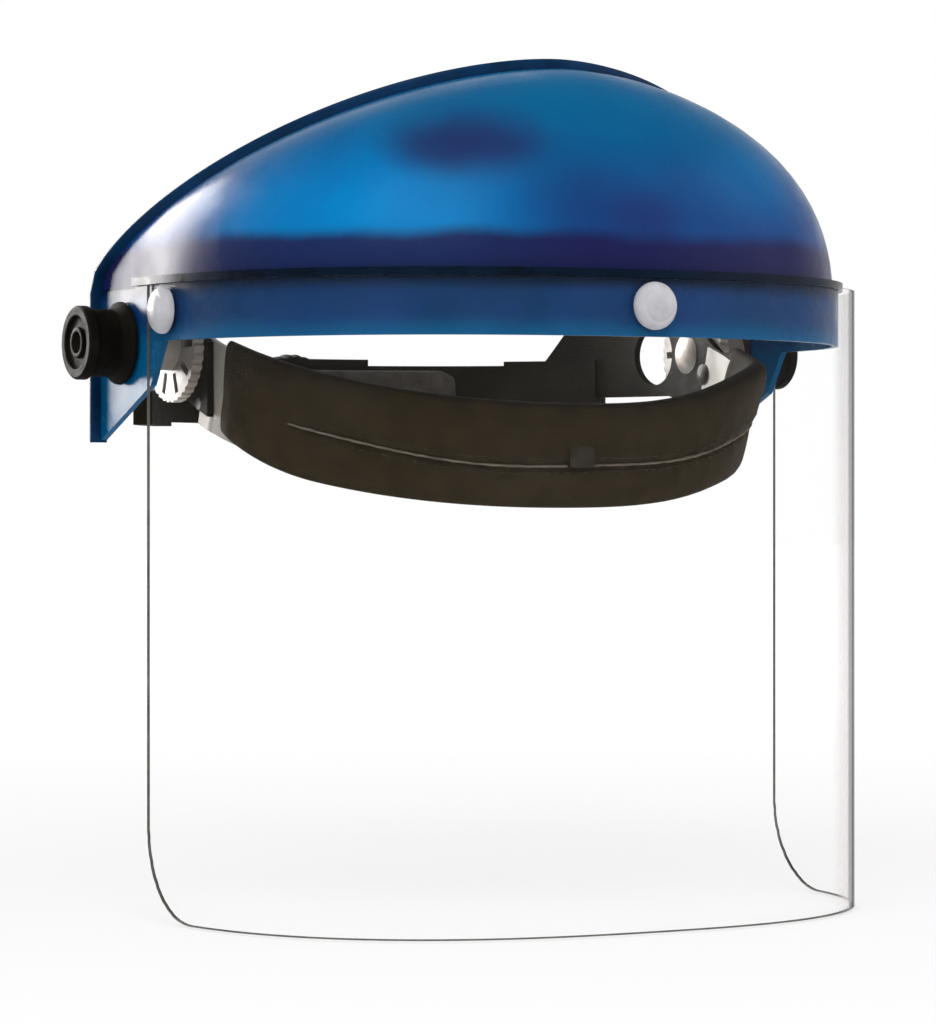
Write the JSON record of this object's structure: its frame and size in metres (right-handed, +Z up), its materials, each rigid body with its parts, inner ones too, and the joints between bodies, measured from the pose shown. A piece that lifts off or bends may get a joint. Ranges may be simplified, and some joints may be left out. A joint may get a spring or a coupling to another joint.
{
  "type": "face shield",
  "caption": "Head-worn face shield: clear bent visor buttoned to a blue crown that lifts on a ratchet headgear with a padded brow band.",
  "frame": {"origin": "middle of the axis that the shield lifts about, between the two tension knobs", "axes": "+Z up, -Y the way the wearer faces, +X the wearer's left"},
  "size_m": [0.2716, 0.2647, 0.2766],
  "materials": {
    "visor_clear": "clear bent sheet, polished",
    "crown_blue": "deep blue translucent moulding, glossy",
    "button_white": "milky white push-in buttons",
    "washer_fibre": "fibre friction washers",
    "band_grey": "pale grey flexible band",
    "sweatband_brown": "dark brown leatherette over foam",
    "peg_black": "black moulded plastic",
    "rivet_steel": "small steel rivets",
    "bolt_steel": "plated steel bolts",
    "disc_grey": "pale grey-brown slotted discs",
    "strap_grey": "dark flexible plastic straps",
    "knob_black": "black moulded knobs",
    "nut_brass": "brass nuts pressed into the knobs",
    "pad_foam": "dark foam pad"
  },
  "bodies": {
    "headgear": {"brow_band": "band_grey", "sweatband": "sweatband_brown", "sweatband_peg": "peg_black", "band_rivets": "rivet_steel", "crown_strap_pegs": "strap_grey", "pivot_bolt_left": "bolt_steel", "pivot_bolt_right": "bolt_steel", "pivot_disc_left": "disc_grey", "pivot_disc_right": "disc_grey", "pivot_spacer_left": "disc_grey", "pivot_spacer_right": "disc_grey", "side_arm_left": "strap_grey", "side_arm_right": "strap_grey", "crown_strap_left": "strap_grey", "crown_strap_right": "strap_grey", "ratchet_housing": "knob_black", "ratchet_cover": "knob_black", "nape_pad": "pad_foam"},
    "shield": {"crown": "crown_blue", "visor": "visor_clear", "snap_buttons": "button_white", "button_washers": "button_white", "ear_washers": "washer_fibre"},
    "tension_knob_left": {"tension_knob_left": "knob_black", "knob_nut_left": "nut_brass"},
    "tension_knob_right": {"tension_knob_right": "knob_black", "knob_nut_right": "nut_brass"},
    "size_knob": {"ratchet_knob": "knob_black", "ratchet_pinion": "peg_black"},
    "nape_strap_left": {"nape_strap_left": "strap_grey"},
    "nape_strap_right": {"nape_strap_right": "strap_grey"}
  },
  "joints": [
    {"name": "shield_lift", "type": "hinge", "parent": "headgear", "child": "shield", "pos_m": [0, 0, 0], "axis": [-1, 0, 0], "range_deg": [0, 80]},
    {"name": "tension_left_turn", "type": "hinge", "parent": "headgear", "child": "tension_knob_left", "pos_m": [0.12, 0, 0], "axis": [-1, 0, 0], "range_deg": [0, 360]},
    {"name": "tension_right_turn", "type": "hinge", "parent": "headgear", "child": "tension_knob_right", "pos_m": [-0.12, 0, 0], "axis": [1, 0, 0], "range_deg": [0, 360]},
    {"name": "size_knob_turn", "type": "hinge", "parent": "headgear", "child": "size_knob", "pos_m": [0, 0.108, -0.0133], "axis": [0, -1, 0], "range_deg": [0, 360]},
    {"name": "nape_strap_left_draw", "type": "hinge", "parent": "headgear", "child": "nape_strap_left", "pos_m": [0, 0.008, -0.0133], "axis": [0, 0, 1], "range_deg": [0, 15]},
    {"name": "nape_strap_right_draw", "type": "hinge", "parent": "headgear", "child": "nape_strap_right", "pos_m": [0, 0.008, -0.0133], "axis": [0, 0, 1], "range_deg": [-15, 0]}
  ],
  "couplings": [
    {"joint": "nape_strap_left_draw", "follows": "size_knob_turn", "ratio": 0.040942},
    {"joint": "nape_strap_right_draw", "follows": "size_knob_turn", "ratio": -0.040161}
  ]
}
